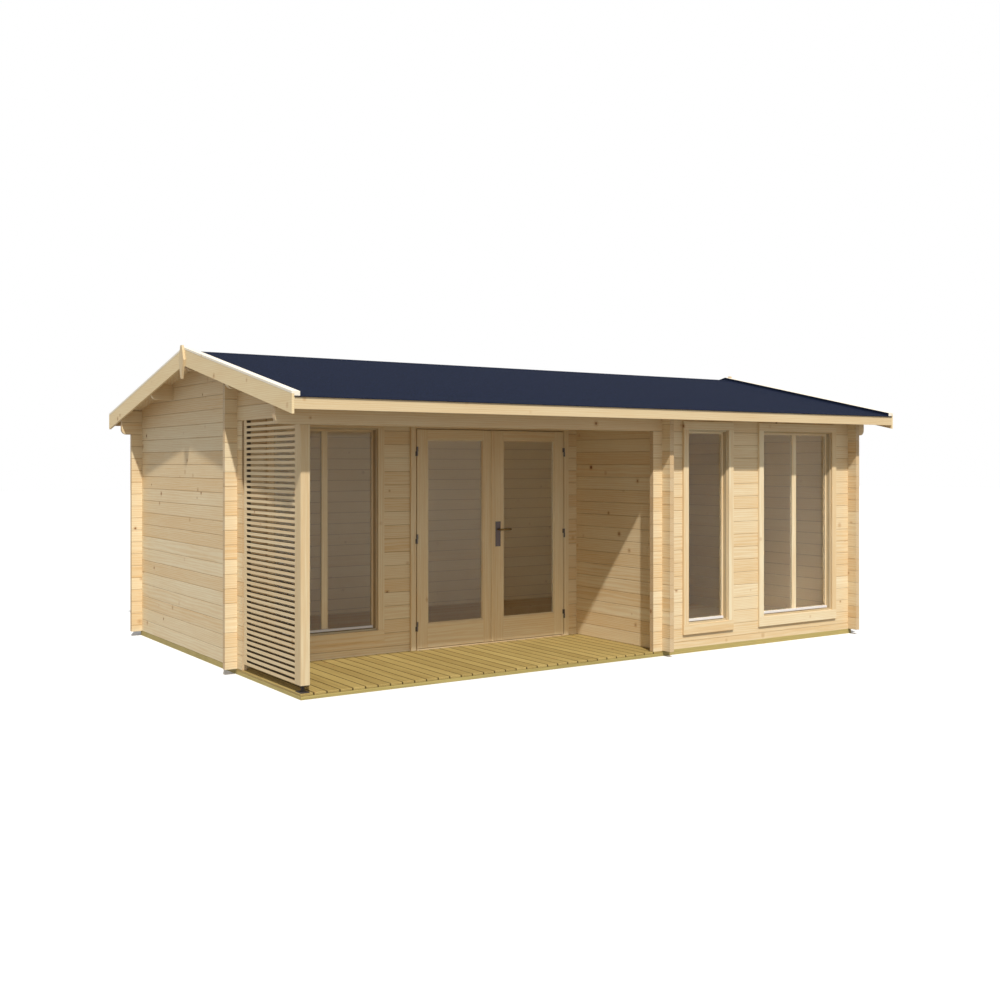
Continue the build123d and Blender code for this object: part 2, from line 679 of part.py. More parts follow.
frame_low_x = door_low_x + fit
frame_wide = door_wide - 2 * fit
clear_wide = frame_wide - 2 * jamb_width
frame_high = head_low + jamb_width
casing_gap = swing_gap / 2 + 1                  # jamb left bare beside the leaves
door_casing_wide = clear_wide + 2 * (casing_gap + door_casing_width)
frame_depth = log_thick + 2 * fit
stop_rear = door_face + log_thick + fit
with BuildPart() as door_frame:
    # jambs and head
    with BuildSketch(Plane.XZ.offset(fit - door_face)):
        with Locations((door_mid, (base_height + frame_high) / 2)):
            Rectangle(frame_wide, frame_high - base_height)
        with Locations((door_mid, (base_height + head_low) / 2)):
            Rectangle(clear_wide, head_low - base_height, mode=Mode.SUBTRACT)
    extrude(amount=-frame_depth)
    # casings, outside and inside
    floor_top = base_height + floor_thick + fit
    for back_y, amount, z_low in ((door_face - fit, casing_thick, base_height),
                                  (stop_rear, -inner_casing_thick, floor_top)):
        with BuildSketch(Plane.XZ.offset(-back_y)):
            with Locations((door_mid, (z_low + casing_high) / 2)):
                Rectangle(door_casing_wide, casing_high - z_low)
            with Locations((door_mid, (z_low + head_low + casing_gap) / 2)):
                Rectangle(clear_wide + 2 * casing_gap, head_low + casing_gap - z_low, mode=Mode.SUBTRACT)
        extrude(amount=amount)
    # stops that the leaves close against
    with BuildSketch(Plane.XZ.offset(-stop_front)):
        with Locations((door_mid, (base_height + head_low) / 2)):
            Rectangle(clear_wide, head_low - base_height)
        with Locations((door_mid, (leaf_low + head_low) / 2)):
            Rectangle(clear_wide - 2 * stop_width, head_low - leaf_low - 2 * stop_width, mode=Mode.SUBTRACT)
    extrude(amount=stop_front - stop_rear)
    # threshold under the leaves
    with Locations((door_mid, (leaf_front + fit + stop_front) / 2, base_height + threshold_height / 2)):
        Box(clear_wide, stop_front - leaf_front - fit, threshold_height)
finish(door_frame, "door_frame")

# ------------------------------------------------------------ door leaves

leaf_pane_low = leaf_low + bottom_rail
leaf_pane_high = leaf_high - top_rail
leaf_middle_z = (leaf_pane_low + leaf_pane_high) / 2
leaf_pane_wide = leaf_width - 2 * (stile_width + bead_width)
leaf_pane_tall = leaf_pane_high - leaf_pane_low - 2 * bead_width
lock_place = door_mid + leaf_gap / 2 + lock_x
for side, hand in (("left", -1), ("right", 1)):
    meeting_x = door_mid + hand * leaf_gap / 2
    hinge_edge_x = meeting_x + hand * leaf_width
    leaf_mid_x = (meeting_x + hinge_edge_x) / 2
    with BuildPart() as door_leaf:
        with BuildSketch(Plane.XY.offset(leaf_low)):
            with BuildLine():
                Polyline((hinge_edge_x, leaf_front), (meeting_x, leaf_front),
                         (meeting_x + hand * leaf_bevel, leaf_rear), (hinge_edge_x, leaf_rear), close=True)
            make_face()
        extrude(amount=leaf_high - leaf_low)
        # opening for the glass, with a step that leaves the bead behind the stiles' faces
        with Locations((leaf_mid_x, leaf_front + leaf_thick / 2, leaf_middle_z)):
            Box(leaf_pane_wide, leaf_thick + 1, leaf_pane_tall, mode=Mode.SUBTRACT)
        for face_y in (leaf_front, leaf_rear):
            with Locations((leaf_mid_x, face_y, leaf_middle_z)):
                Box(leaf_pane_wide + 2 * bead_width, 2 * bead_step, leaf_pane_tall + 2 * bead_width,
                    mode=Mode.SUBTRACT)
        if side == "left":
            # strip along the meeting edge
            with Locations((meeting_x - strip_width / 2, leaf_front - strip_thick / 2, (leaf_low + leaf_high) / 2)):
                Box(strip_width, strip_thick, leaf_high - leaf_low)
        else:
            # hole that the spindle passes through
            with Locations(Plane.XZ.offset(-leaf_front) * Location((lock_place, spindle_z, 0))):
                Cylinder(spindle_bore / 2, 3 * leaf_thick, mode=Mode.SUBTRACT)
    finish(door_leaf, f"{side}_door_leaf")
    with BuildPart() as leaf_glass:
        with Locations((leaf_mid_x, leaf_front + leaf_thick / 2, leaf_middle_z)):
            Box(leaf_pane_wide - 2 * fit, glass_thick, leaf_pane_tall - 2 * fit)
    finish(leaf_glass, f"{side}_door_glass")

# ------------------------------------------------------------ hinges

# Each hinge is a lower knuckle with a pin, fixed to the casing, and an upper one fixed to the leaf.
with BuildPart() as frame_hinges:
    for hand in (-1, 1):
        pin_x = door_mid + hand * hinge_side
        for z in hinge_heights:
            with Locations((pin_x, hinge_y, z - hinge_knuckle / 2)):
                Cylinder(hinge_radius, hinge_knuckle - fit)
            with Locations((pin_x, hinge_y, z)):
                Cylinder(hinge_pin / 2, 1.5 * hinge_knuckle)
            with Locations((pin_x + hand * hinge_wing / 2, leaf_front - 2 * fit - hinge_wing_thick / 2,
                            z - hinge_knuckle / 2)):
                Box(hinge_wing, hinge_wing_thick, hinge_knuckle - fit)
finish(frame_hinges, "frame_hinges")

for side, hand in (("left", -1), ("right", 1)):
    pin_x = door_mid + hand * hinge_side
    with BuildPart() as leaf_hinges:
        for z in hinge_heights:
            with Locations((pin_x, hinge_y, z + hinge_knuckle / 2)):
                Cylinder(hinge_radius, hinge_knuckle - fit)
            with Locations((pin_x - hand * hinge_wing / 2, leaf_front - fit - hinge_wing_thick / 2,
                            z + hinge_knuckle / 2)):
                Box(hinge_wing, hinge_wing_thick, hinge_knuckle - fit)
            with Locations((pin_x, hinge_y, z + hinge_knuckle / 2)):
                Cylinder(hinge_bore / 2, hinge_knuckle, mode=Mode.SUBTRACT)
    finish(leaf_hinges, f"{side}_leaf_hinges")

# ------------------------------------------------------------ lock plates and lever

with BuildPart() as lock_plates:
    for plate_y in (leaf_front - fit - lock_thick / 2, leaf_rear + fit + lock_thick / 2):
        with Locations((lock_place, plate_y, (lock_low + lock_high) / 2)):
            Box(lock_width, lock_thick, lock_high - lock_low)
    with Locations(Plane.XZ.offset(-leaf_front) * Location((lock_place, spindle_z, 0))):
        Cylinder(spindle_diameter / 2 + fit, 3 * leaf_thick, mode=Mode.SUBTRACT)
finish(lock_plates, "lock_plates")

lever_front = leaf_front - lever_reach
lever_rear = leaf_rear + lever_reach
neck_gap = lock_thick + 2 * fit                   # lever's neck starts just clear of its plate
with BuildPart() as door_lever:
    with BuildSketch(Plane.XZ.offset(-lever_front)):
        with Locations((lock_place, spindle_z)):
            Circle(spindle_diameter / 2)
    extrude(amount=lever_front - lever_rear)
    for neck_start, lever_y in ((leaf_front - neck_gap, lever_front), (leaf_rear + neck_gap, lever_rear)):
        with BuildSketch(Plane.XZ.offset(-neck_start)):
            with Locations((lock_place, spindle_z)):
                Circle(lever_diameter / 2)
        extrude(amount=neck_start - lever_y)
        with BuildSketch(Plane.YZ.offset(lock_place - lever_diameter / 2)):
            with Locations((lever_y, spindle_z)):
                RectangleRounded(0.8 * lever_diameter, lever_diameter, 0.35 * lever_diameter)
        extrude(amount=lever_length)
finish(door_lever, "door_lever")
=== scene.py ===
# %% [markdown]
# # Log cabin with a corner veranda
#
# The construction comes ready from CAD: log walls with notched corners, roof, deck and doors, each at its
# real size. This script gives that construction its finish. Pieces whose shape is already right keep their
# CAD mesh and get a material. Joinery and the deck are put together from many planed boards, so they are
# built anew here, board by board, and every joint between two boards can be seen.

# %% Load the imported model
import math

import bpy
import numpy as np
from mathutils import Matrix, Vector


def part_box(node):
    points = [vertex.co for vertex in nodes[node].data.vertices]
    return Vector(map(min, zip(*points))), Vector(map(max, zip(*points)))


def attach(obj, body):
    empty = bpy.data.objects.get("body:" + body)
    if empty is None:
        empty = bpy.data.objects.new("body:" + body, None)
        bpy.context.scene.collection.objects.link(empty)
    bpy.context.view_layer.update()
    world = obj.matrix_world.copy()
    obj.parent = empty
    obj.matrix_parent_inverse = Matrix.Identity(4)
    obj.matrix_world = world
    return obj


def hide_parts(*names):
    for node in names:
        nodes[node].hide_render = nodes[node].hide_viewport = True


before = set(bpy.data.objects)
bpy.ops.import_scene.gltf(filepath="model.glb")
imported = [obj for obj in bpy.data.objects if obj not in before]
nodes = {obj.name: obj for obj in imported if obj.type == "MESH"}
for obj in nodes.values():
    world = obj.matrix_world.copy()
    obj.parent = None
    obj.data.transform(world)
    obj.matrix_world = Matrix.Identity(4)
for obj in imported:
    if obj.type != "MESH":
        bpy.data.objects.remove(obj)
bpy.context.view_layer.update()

# %% [markdown]
# ## Camera
#
# The camera stands at eye height, off the left corner of the veranda, and looks level. It could be tilted
# down to bring the building to the middle of the view, but then upright edges would lean. A level camera
# keeps them upright, and the lens is shifted down instead, as architects do.

# %% Camera
EYE = (-6.253, -9.3655, 1.657)
HEADING = 33.83
LENS = 41.87
LENS_SHIFT = -0.0372

scene = bpy.context.scene
camera = bpy.data.objects.new("camera", bpy.data.cameras.new("camera"))
camera.location = EYE
camera.rotation_euler = (math.radians(90), 0, math.radians(-HEADING))
camera.data.lens = LENS
camera.data.shift_y = LENS_SHIFT
scene.collection.objects.link(camera)
scene.camera = camera
print("camera at", EYE, "m, turned", HEADING, "degrees to the right")

# %% [markdown]
# ## Colours and nodes
#
# Colours are written as they look on a screen. Shaders count in linear light, so one function turns the
# written value to linear. Materials could be put together by hand in the shader editor. Written as code, a
# size or a colour is changed in one place. A small function adds a shader node: its properties go in by name,
# and its inputs by name or number, each from a value or from another node's output.

# %% Helpers for materials


def linear(written):
    """Linear RGBA of an sRGB hex colour: low values over 12.92, the rest ((v + 0.055) / 1.055) ** 2.4."""
    value = np.array([int(written[k:k + 2], 16) for k in (1, 3, 5)]) / 255
    light = np.where(value <= 0.04045, value / 12.92, ((value + 0.055) / 1.055) ** 2.4)
    return (*light.tolist(), 1.0)


def add_node(tree, kind, inputs=None, **settings):
    """A new node in the tree, with its settings, and its inputs set to a value or fed by a socket."""
    node = tree.nodes.new(kind)
    for name, value in settings.items():
        setattr(node, name, value)
    for name, value in (inputs or {}).items():
        if isinstance(value, bpy.types.NodeSocket):
            tree.links.new(value, node.inputs[name])
        else:
            node.inputs[name].default_value = value
    return node


def new_material(name):
    """An empty material, its tree and its output node."""
    material = bpy.data.materials.new(name)
    material.use_nodes = True
    material.node_tree.nodes.clear()
    return material, material.node_tree, add_node(material.node_tree, "ShaderNodeOutputMaterial")


def dress(material, *names):
    """Gives CAD nodes that keep their mesh a better material."""
    for name in names:
        mesh = nodes[name].data
        mesh.materials.clear()
        mesh.materials.append(material)
    print(material.name, "on", ", ".join(names))


print("the middle grey #808080 is", round(linear("#808080")[0], 3), "in linear light")

# %% [markdown]
# ## Pine
#
# Nearly the whole cabin is planed pine, so one shader serves every pine material. What the eye sees in it:
#
# - growth rings cut lengthwise, as long wavy bands along the grain. Real bands are 2 to 4 mm wide, finer
#   than this view can show, so they are drawn about 14 mm apart;
# - fibres, drawn as noise stretched 40 times along the grain. Real ones are far finer than the 6 mm that they
#   measure across here;
# - a slow, cloudy change of tone, and another tone from one board to the next;
# - small round knots, red-brown in a halo of darker wood, a few in each square metre, some of them faint.
#
# A picture of wood wrapped round the boards would repeat, and would have to be laid out on every one. A
# pattern worked out in three dimensions does neither, and runs on over a board's edges as real grain does.
# It works in the board's own coordinates, x along the grain, so it doesn't mind which way a board lies.

# %% Growth rings and fibres
BARE_PALE, BARE_DEEP = "#ebddbb", "#d9b887"
RING_STRETCH = (0.055, 1.0, 1.0)
RING_SCALE = 22
FIBRE_STRETCH = (4, 160, 160)
CLOUD_STRETCH = (1.4, 9, 9)


def clear_wood(tree, place, tone, pale, deep):
    """Sockets with the colour of wood without knots, and with the height of its grain.

    Its depth of tone is 0.42 * rings + 0.5 * fibres + 0.6 * clouds + 0.5 * the board's own tone. The colour
    goes from pale to deep while that rises from 0.35 to 1.5. The first two terms are the height.
    """
    bands = add_node(tree, "ShaderNodeVectorMath", {0: place, 1: RING_STRETCH}, operation="MULTIPLY")
    # a wave texture's bands lie 2 * pi / 20 m apart, over its scale
    rings = add_node(tree, "ShaderNodeTexWave",
                     {"Vector": bands.outputs[0], "Scale": RING_SCALE, "Distortion": 7, "Detail": 3,
                      "Detail Scale": 1.3, "Detail Roughness": 0.6}, wave_type="RINGS", rings_direction="X")
    drawn = add_node(tree, "ShaderNodeVectorMath", {0: place, 1: FIBRE_STRETCH}, operation="MULTIPLY")
    fibres = add_node(tree, "ShaderNodeTexNoise",
                      {"Vector": drawn.outputs[0], "Scale": 1, "Detail": 4, "Roughness": 0.62})
    wide = add_node(tree, "ShaderNodeVectorMath", {0: place, 1: CLOUD_STRETCH}, operation="MULTIPLY")
    clouds = add_node(tree, "ShaderNodeTexNoise", {"Vector": wide.outputs[0], "Scale": 1, "Detail": 2})
    total = add_node(tree, "ShaderNodeMath", {0: rings.outputs["Fac"], 1: 0.42}, operation="MULTIPLY")
    height = add_node(tree, "ShaderNodeMath", {0: fibres.outputs[0], 1: 0.5, 2: total.outputs[0]},
                      operation="MULTIPLY_ADD")
    total = add_node(tree, "ShaderNodeMath", {0: clouds.outputs[0], 1: 0.6, 2: height.outputs[0]},
                     operation="MULTIPLY_ADD")
    total = add_node(tree, "ShaderNodeMath", {0: tone, 1: 0.5, 2: total.outputs[0]},
                     operation="MULTIPLY_ADD")
    depth = add_node(tree, "ShaderNodeMapRange",
                     {"Value": total.outputs[0], "From Min": 0.35, "From Max": 1.5}, clamp=True)
    wood = add_node(tree, "ShaderNodeMix", {0: depth.outputs[0], 6: linear(pale), 7: linear(deep)},
                    data_type="RGBA")
    return wood.outputs[2], height.outputs[0]


print("rings", round(1000 * 2 * math.pi / 20 / RING_SCALE, 1), "mm apart, fibres",
      round(1000 / FIBRE_STRETCH[1], 1), "mm across")

# %% Knots
KNOT_LEAST, KNOT_MOST = 0.006, 0.016
KNOT_HALO = "#b07e48"


def knotted_wood(tree, place, wood, knot, cell):
    """Socket with the wood's colour and knots in it, one in each cell of the given size in metres.

    Knots are balls that the surface cuts. A point's distance from the ball's middle, over the ball's radius,
    is under 1 inside the knot. The halo reaches to 2.4, and a knot has 0.3 to 1 of its full colour.
    """
    cells = add_node(tree, "ShaderNodeTexVoronoi", {"Vector": place, "Scale": 1 / cell})
    chance = add_node(tree, "ShaderNodeSeparateColor", {0: cells.outputs["Color"]})
    radius = add_node(tree, "ShaderNodeMapRange",
                      {"Value": chance.outputs[0], "To Min": KNOT_LEAST / cell, "To Max": KNOT_MOST / cell})
    out = add_node(tree, "ShaderNodeMath", {0: cells.outputs["Distance"], 1: radius.outputs[0]},
                   operation="DIVIDE")
    around = add_node(tree, "ShaderNodeMapRange",
                      {"Value": out.outputs[0], "From Min": 2.4, "From Max": 1.0, "To Max": 0.4},
                      interpolation_type="SMOOTHSTEP")
    halo = add_node(tree, "ShaderNodeMix", {0: around.outputs[0], 6: wood, 7: linear(KNOT_HALO)},
                    data_type="RGBA")
    strength = add_node(tree, "ShaderNodeMapRange", {"Value": chance.outputs[1], "To Min": 0.3})
    inside = add_node(tree, "ShaderNodeMapRange",
                      {"Value": out.outputs[0], "From Min": 1.1, "From Max": 0.7,
                       "To Max": strength.outputs[0]}, interpolation_type="SMOOTHSTEP")
    knotted = add_node(tree, "ShaderNodeMix", {0: inside.outputs[0], 6: halo.outputs[2], 7: linear(knot)},
                       data_type="RGBA")
    return knotted.outputs[2]


print("knots", 2000 * KNOT_LEAST, "to", 2000 * KNOT_MOST, "mm wide")

# %% Pine shader
KNOT_CELL = 0.2
# painted shade in the grooves between logs, and the default colour of painted shade
GROOVE_SHADE_COLOUR = "#8a6840"
SAWN_END = "#a9835a"
# wood inside the room is drawn paler: painted light for the dim room behind the panes
PALE_INDOORS, PALE_INDOORS_PART = "#f8e5be", 0.7
GRAIN_DEPTH = 0.001


def pine(tree, place, tone, colours, output, painted_shade=None, painted_shade_colour=GROOVE_SHADE_COLOUR, end=None, paler_indoors=None,
         knot_cell=KNOT_CELL):
    """Planed pine on board coordinates in metres: place has x along the grain, tone is 0 to 1 for a board.

    colours are the pale wood's, the deep wood's and the knots'. The shade mask after output is painted shade,
    mixed in its colour close to a joint or between slats, and end the part of the darker tone that sawn end
    grain has. The indoor mask is 1 inside the room, where the wood is drawn paler as painted light.
    """
    pale, deep, knot = colours
    wood, height = clear_wood(tree, place, tone, pale, deep)
    colour = knotted_wood(tree, place, wood, knot, knot_cell)
    if end is not None:
        colour = add_node(tree, "ShaderNodeMix", {0: end, 6: colour, 7: linear(SAWN_END)},
                          data_type="RGBA").outputs[2]
    # painted light: the wood inside the room is drawn paler
    if paler_indoors is not None:
        part = add_node(tree, "ShaderNodeMath", {0: paler_indoors, 1: PALE_INDOORS_PART}, operation="MULTIPLY")
        colour = add_node(tree, "ShaderNodeMix", {0: part.outputs[0], 6: colour, 7: linear(PALE_INDOORS)},
                          data_type="RGBA").outputs[2]
    # painted shade close to joints and between slats
    if painted_shade is not None:
        colour = add_node(tree, "ShaderNodeMix", {0: painted_shade, 6: colour, 7: linear(painted_shade_colour)},
                          data_type="RGBA").outputs[2]
    relief = add_node(tree, "ShaderNodeBump", {"Height": height, "Strength": 0.25, "Distance": GRAIN_DEPTH})
    shader = add_node(tree, "ShaderNodeBsdfPrincipled",
                      {"Base Color": colour, "Roughness": 0.62, "Specular IOR Level": 0.3,
                       "Normal": relief.outputs[0]})
    tree.links.new(shader.outputs[0], output.inputs[0])


print("bare pine from", BARE_PALE, "to", BARE_DEEP)

# %% [markdown]
# ## Logs
#
# A wall is a stack of machined logs, 114 mm high, with a V groove at every joint. Each log could be a mesh of
# its own with its own tone, but the CAD wall is one solid, and height alone says which log a point is on: its
# height above the lowest joint, over the course, rounded down. That number and the wall's place go through a
# white noise, which gives every log its own tone and its own cut of the pattern.
#
# Three things change the wood's tone beyond that. Close to a joint it darkens: painted shade for the groove,
# with some dust in it. Sawn log ends take up dirt and are darker. Wood inside the room is drawn paler, which
# is painted light for the dim room behind the panes.

# %% Joints between logs or boards


def near_joint(tree, count, pitch, begin, end, most):
    """0 away from the joints and most at them. count is the place across in boards, whole at a joint.

    The distance to the nearest joint is 0.5 less the distance of the fraction from 0.5, times the pitch.
    The value starts to rise at the distance begin, and is full at the distance end.
    """
    part = add_node(tree, "ShaderNodeMath", {0: count}, operation="FRACT")
    part = add_node(tree, "ShaderNodeMath", {0: part.outputs[0], 1: 0.5}, operation="SUBTRACT")
    part = add_node(tree, "ShaderNodeMath", {0: part.outputs[0]}, operation="ABSOLUTE")
    near = add_node(tree, "ShaderNodeMapRange",
                    {"Value": part.outputs[0], "From Min": 0.5 - begin / pitch, "From Max": 0.5 - end / pitch,
                     "To Max": most}, interpolation_type="SMOOTHSTEP")
    return near.outputs[0]


COURSE, WALL_FOOT = 0.114, 0.045
print("lowest joint at", WALL_FOOT, "m, then one every", COURSE, "m")

# %% Wood indoors
room = {"west": (0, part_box("left_gable_wall")), "east": (0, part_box("right_gable_wall")),
        "south": (1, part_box("front_wall_sill")), "north": (1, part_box("rear_wall")),
        "side wall": (0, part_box("side_wall")), "door wall": (1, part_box("door_wall_sill"))}
room = {wall: (axis, (box[0][axis] + box[1][axis]) / 2) for wall, (axis, box) in room.items()}


def indoors(tree, x, y):
    """1 where a point lies inside the room, 0 on the wood that stands out in the weather.

    The room is what lies between the outer walls' middles, less the veranda in front of the door wall.
    """
    past = {wall: add_node(tree, "ShaderNodeMath", {0: (x, y)[axis], 1: middle}, operation="GREATER_THAN")
            for wall, (axis, middle) in room.items()}
    past = {wall: node.outputs[0] for wall, node in past.items()}
    entered = add_node(tree, "ShaderNodeMath", {0: past["west"], 1: past["south"]}, operation="MULTIPLY")
    left_again = add_node(tree, "ShaderNodeMath", {0: past["east"], 1: past["north"]}, operation="MAXIMUM")
    within = add_node(tree, "ShaderNodeMath", {0: entered.outputs[0], 1: left_again.outputs[0]},
                      operation="SUBTRACT")
    within = add_node(tree, "ShaderNodeMath", {0: within.outputs[0], 1: 0.0}, operation="MAXIMUM")
    past_veranda = add_node(tree, "ShaderNodeMath", {0: past["side wall"], 1: past["door wall"]},
                            operation="MAXIMUM")
    inside = add_node(tree, "ShaderNodeMath", {0: within.outputs[0], 1: past_veranda.outputs[0]},
                      operation="MULTIPLY")
    return inside.outputs[0]


print("wall middles", {wall: round(middle, 3) for wall, (axis, middle) in room.items()})

# %% Log material
LOG_COLOURS = (BARE_PALE, BARE_DEEP, "#7a4a26")
# painted shade in each groove: where it starts, where it is full, and how strong it is
GROOVE_BEGIN, GROOVE_END, GROOVE_SHADE = 0.0045, 0.001, 0.35
END_PART = 0.42
# walls that stand in different bands of 0.6 m get different logs
WALLS_APART, LOG_SEED = 0.6, 0.37
# a log's own cut of the pattern lies up to 9 m away each way
PATTERN_SHIFT = (9, 9, 9)


def log_wood(name, grain, first_joint):
    """Pine in logs whose grain runs along Object axis X or Y, with joints a course apart from first_joint."""
    material, tree, output = new_material(name)
    coordinates = add_node(tree, "ShaderNodeTexCoord").outputs["Object"]
    x, y, z = add_node(tree, "ShaderNodeSeparateXYZ", {0: coordinates}).outputs
    along, across = (x, y) if grain == "X" else (y, x)
    courses = add_node(tree, "ShaderNodeMath", {0: z, 1: first_joint}, operation="SUBTRACT")
    courses = add_node(tree, "ShaderNodeMath", {0: courses.outputs[0], 1: COURSE}, operation="DIVIDE")
    log = add_node(tree, "ShaderNodeMath", {0: courses.outputs[0]}, operation="FLOOR")
    wall = add_node(tree, "ShaderNodeMath", {0: across, 1: WALLS_APART}, operation="SNAP")
    key = add_node(tree, "ShaderNodeCombineXYZ", {0: log.outputs[0], 1: wall.outputs[0], 2: LOG_SEED})
    chance = add_node(tree, "ShaderNodeTexWhiteNoise", {"Vector": key.outputs[0]})
    own = add_node(tree, "ShaderNodeVectorMath", {0: chance.outputs["Color"], 1: PATTERN_SHIFT},
                   operation="MULTIPLY")
    lying = add_node(tree, "ShaderNodeCombineXYZ", {0: along, 1: across, 2: z})
    place = add_node(tree, "ShaderNodeVectorMath", {0: lying.outputs[0], 1: own.outputs[0]}, operation="ADD")
    # painted shade close to each joint, with some dust
    painted_shade = near_joint(tree, courses.outputs[0], COURSE, GROOVE_BEGIN, GROOVE_END, GROOVE_SHADE)
    # a face whose normal lies along the grain is a sawn end
    normal = add_node(tree, "ShaderNodeNewGeometry").outputs["Normal"]
    facing = add_node(tree, "ShaderNodeSeparateXYZ", {0: normal}).outputs["XYZ".index(grain)]
    square = add_node(tree, "ShaderNodeMath", {0: facing, 1: 2}, operation="POWER")
    end = add_node(tree, "ShaderNodeMath", {0: square.outputs[0], 1: END_PART}, operation="MULTIPLY")
    # the wood inside the room gets painted light
    pine(tree, place.outputs[0], chance.outputs["Value"], LOG_COLOURS, output, painted_shade=painted_shade,
         end=end.outputs[0], paler_indoors=indoors(tree, x, y))
    return material


dress(log_wood("planed pine logs along the front", "X", WALL_FOOT + COURSE / 2),
      "front_wall_sill", "front_wall_piers", "front_top_logs", "door_wall_sill", "door_wall_piers",
      "door_wall_head", "rear_wall")
dress(log_wood("planed pine logs along the gables", "Y", WALL_FOOT),
      "left_gable_wall", "right_gable_wall", "side_wall")

# %% [markdown]
# ## Single boards that keep their CAD mesh
#
# Purlins, fascias, roof boards and the louvre lie along one axis each, so Object coordinates serve them too,
# and nothing has to be unwrapped. Where a node holds many boards side by side, the board's number comes from
# its place across, as a log's does from its height. Shade is painted on the wood between the louvre's slats,
# and beside the joints of the deck, which is built further down. The verge caps are drawn paler, a painted
# highlight for their sunlit tops, and the beams on the ground are soaked in a salt that turns them
# yellow-brown.

# %% Board material
BOARD_KNOT = "#84522c"
# single boards that lie in different bands of 1.9 m differ in tone
SINGLE_PITCH, GROOVED_PITCH = 1.9, 0.096
# painted shade beside the deck's joints, for the shade in its gaps
JOINT_BEGIN, JOINT_END, JOINT_SHADE = 0.008, 0.004, 0.8
# painted shade between the louvre's slats
SLAT_SHADE, SLAT_SHADE_BEGIN, SLAT_SHADE_END, SLAT_SHADE_PART = "#3e2c1a", 0.001, 0.008, 0.9


def board_wood(name, grain, pitch=SINGLE_PITCH, first=0.0, pale=BARE_PALE, deep=BARE_DEEP, knot=BOARD_KNOT,
               edge=None, inner=None):
    """Pine boards along Object axis grain, "X", "Y" or "Z", spaced by pitch along the next axis from first.

    edge is the colour of painted shade beside the joints, for the shade in the gaps. The first board's outer
    side has no neighbour, so it stays clean. inner is the places along X of a screen's two faces: between
    them, the gaps are painted in shade.
    """
    material, tree, output = new_material(name)
    coordinates = add_node(tree, "ShaderNodeTexCoord").outputs["Object"]
    apart = add_node(tree, "ShaderNodeSeparateXYZ", {0: coordinates}).outputs
    along, across, third = {"X": (0, 1, 2), "Y": (1, 0, 2), "Z": (2, 0, 1)}[grain]
    count = add_node(tree, "ShaderNodeMath", {0: apart[across], 1: first}, operation="SUBTRACT")
    count = add_node(tree, "ShaderNodeMath", {0: count.outputs[0], 1: pitch}, operation="DIVIDE")
    number = add_node(tree, "ShaderNodeMath", {0: count.outputs[0]}, operation="FLOOR")
    chance = add_node(tree, "ShaderNodeTexWhiteNoise", {"W": number.outputs[0]}, noise_dimensions="1D")
    own = add_node(tree, "ShaderNodeVectorMath", {0: chance.outputs["Color"], 1: PATTERN_SHIFT},
                   operation="MULTIPLY")
    lying = add_node(tree, "ShaderNodeCombineXYZ", {0: apart[along], 1: apart[across], 2: apart[third]})
    place = add_node(tree, "ShaderNodeVectorMath", {0: lying.outputs[0], 1: own.outputs[0]}, operation="ADD")
    # painted shade beside the deck's joints and between the louvre's slats
    shade_mask = None
    if edge:
        inland = add_node(tree, "ShaderNodeMath", {0: count.outputs[0], 1: 0.5}, operation="GREATER_THAN")
        near = near_joint(tree, count.outputs[0], pitch, JOINT_BEGIN, JOINT_END, JOINT_SHADE)
        shade_mask = add_node(tree, "ShaderNodeMath", {0: near, 1: inland.outputs[0]},
                        operation="MULTIPLY").outputs[0]
    if inner:
        middle, reach = (inner[0] + inner[1]) / 2, (inner[1] - inner[0]) / 2
        depth = add_node(tree, "ShaderNodeMath", {0: apart[0], 1: middle}, operation="SUBTRACT")
        depth = add_node(tree, "ShaderNodeMath", {0: depth.outputs[0]}, operation="ABSOLUTE")
        shade_mask = add_node(tree, "ShaderNodeMapRange",
                        {"Value": depth.outputs[0], "From Min": reach - SLAT_SHADE_BEGIN,
                         "From Max": reach - SLAT_SHADE_END, "To Max": SLAT_SHADE_PART}).outputs[0]
    pine(tree, place.outputs[0], chance.outputs["Value"], (pale, deep, knot), output, painted_shade=shade_mask,
         painted_shade_colour=edge or SLAT_SHADE)
    return material


dress(board_wood("planed pine purlins", "X"), "front_purlin", "ridge_purlin", "rear_purlin")
dress(board_wood("planed pine roof boards", "Y", GROOVED_PITCH), "roof_boards_front", "roof_boards_rear")
dress(board_wood("planed pine floor", "X", GROOVED_PITCH), "room_floor")

# %% Trim, louvre and beams
TRIM_PALE, TRIM_DEEP = "#dcc9a2", "#caa777"
BEAM_KNOT = "#5f5428"
LOUVRE_DEEP = 0.040
louvre_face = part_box("louvre_screen")[0][0]
dress(board_wood("planed pine fascias", "X", pale=TRIM_PALE, deep=TRIM_DEEP), "fascia_front", "fascia_rear")
dress(board_wood("planed pine verge boards", "Y", pale="#eddab0", deep="#dab883"),
      "left_bargeboards", "right_bargeboards")
# the caps are drawn paler: a painted highlight for their sunlit tops
dress(board_wood("pale pine verge caps with painted highlight", "Y", pale="#f4ebd9", deep="#eadec8"),
      "left_verge_caps", "right_verge_caps")
dress(board_wood("planed pine uprights", "Z", pale=TRIM_PALE, deep=TRIM_DEEP),
      "left_finial", "right_finial", "corner_post")
# the louvre's wood gets painted shade between its two faces
dress(board_wood("planed pine louvre", "Y", pale="#e8d6b0", deep="#d4b07e",
                 inner=(louvre_face, louvre_face + LOUVRE_DEEP)), "louvre_screen")
dress(board_wood("impregnated pine beams", "X", pale="#c5b06e", deep="#97874f", knot=BEAM_KNOT),
      "foundation_beams")

# %% [markdown]
# ## Roofing felt
#
# The roof is covered with bitumen felt that is strewn with dark blue mineral grit. The grit could be modelled
# as millions of grains, but from here only its speckle shows, so a noise draws it in colour and in relief.
# Grit of 1 mm is too fine for this view, so the speckle is drawn at 12 mm.

# %% Felt material
SPECKLE = 0.012
SPECKLE_HIGH = 0.002

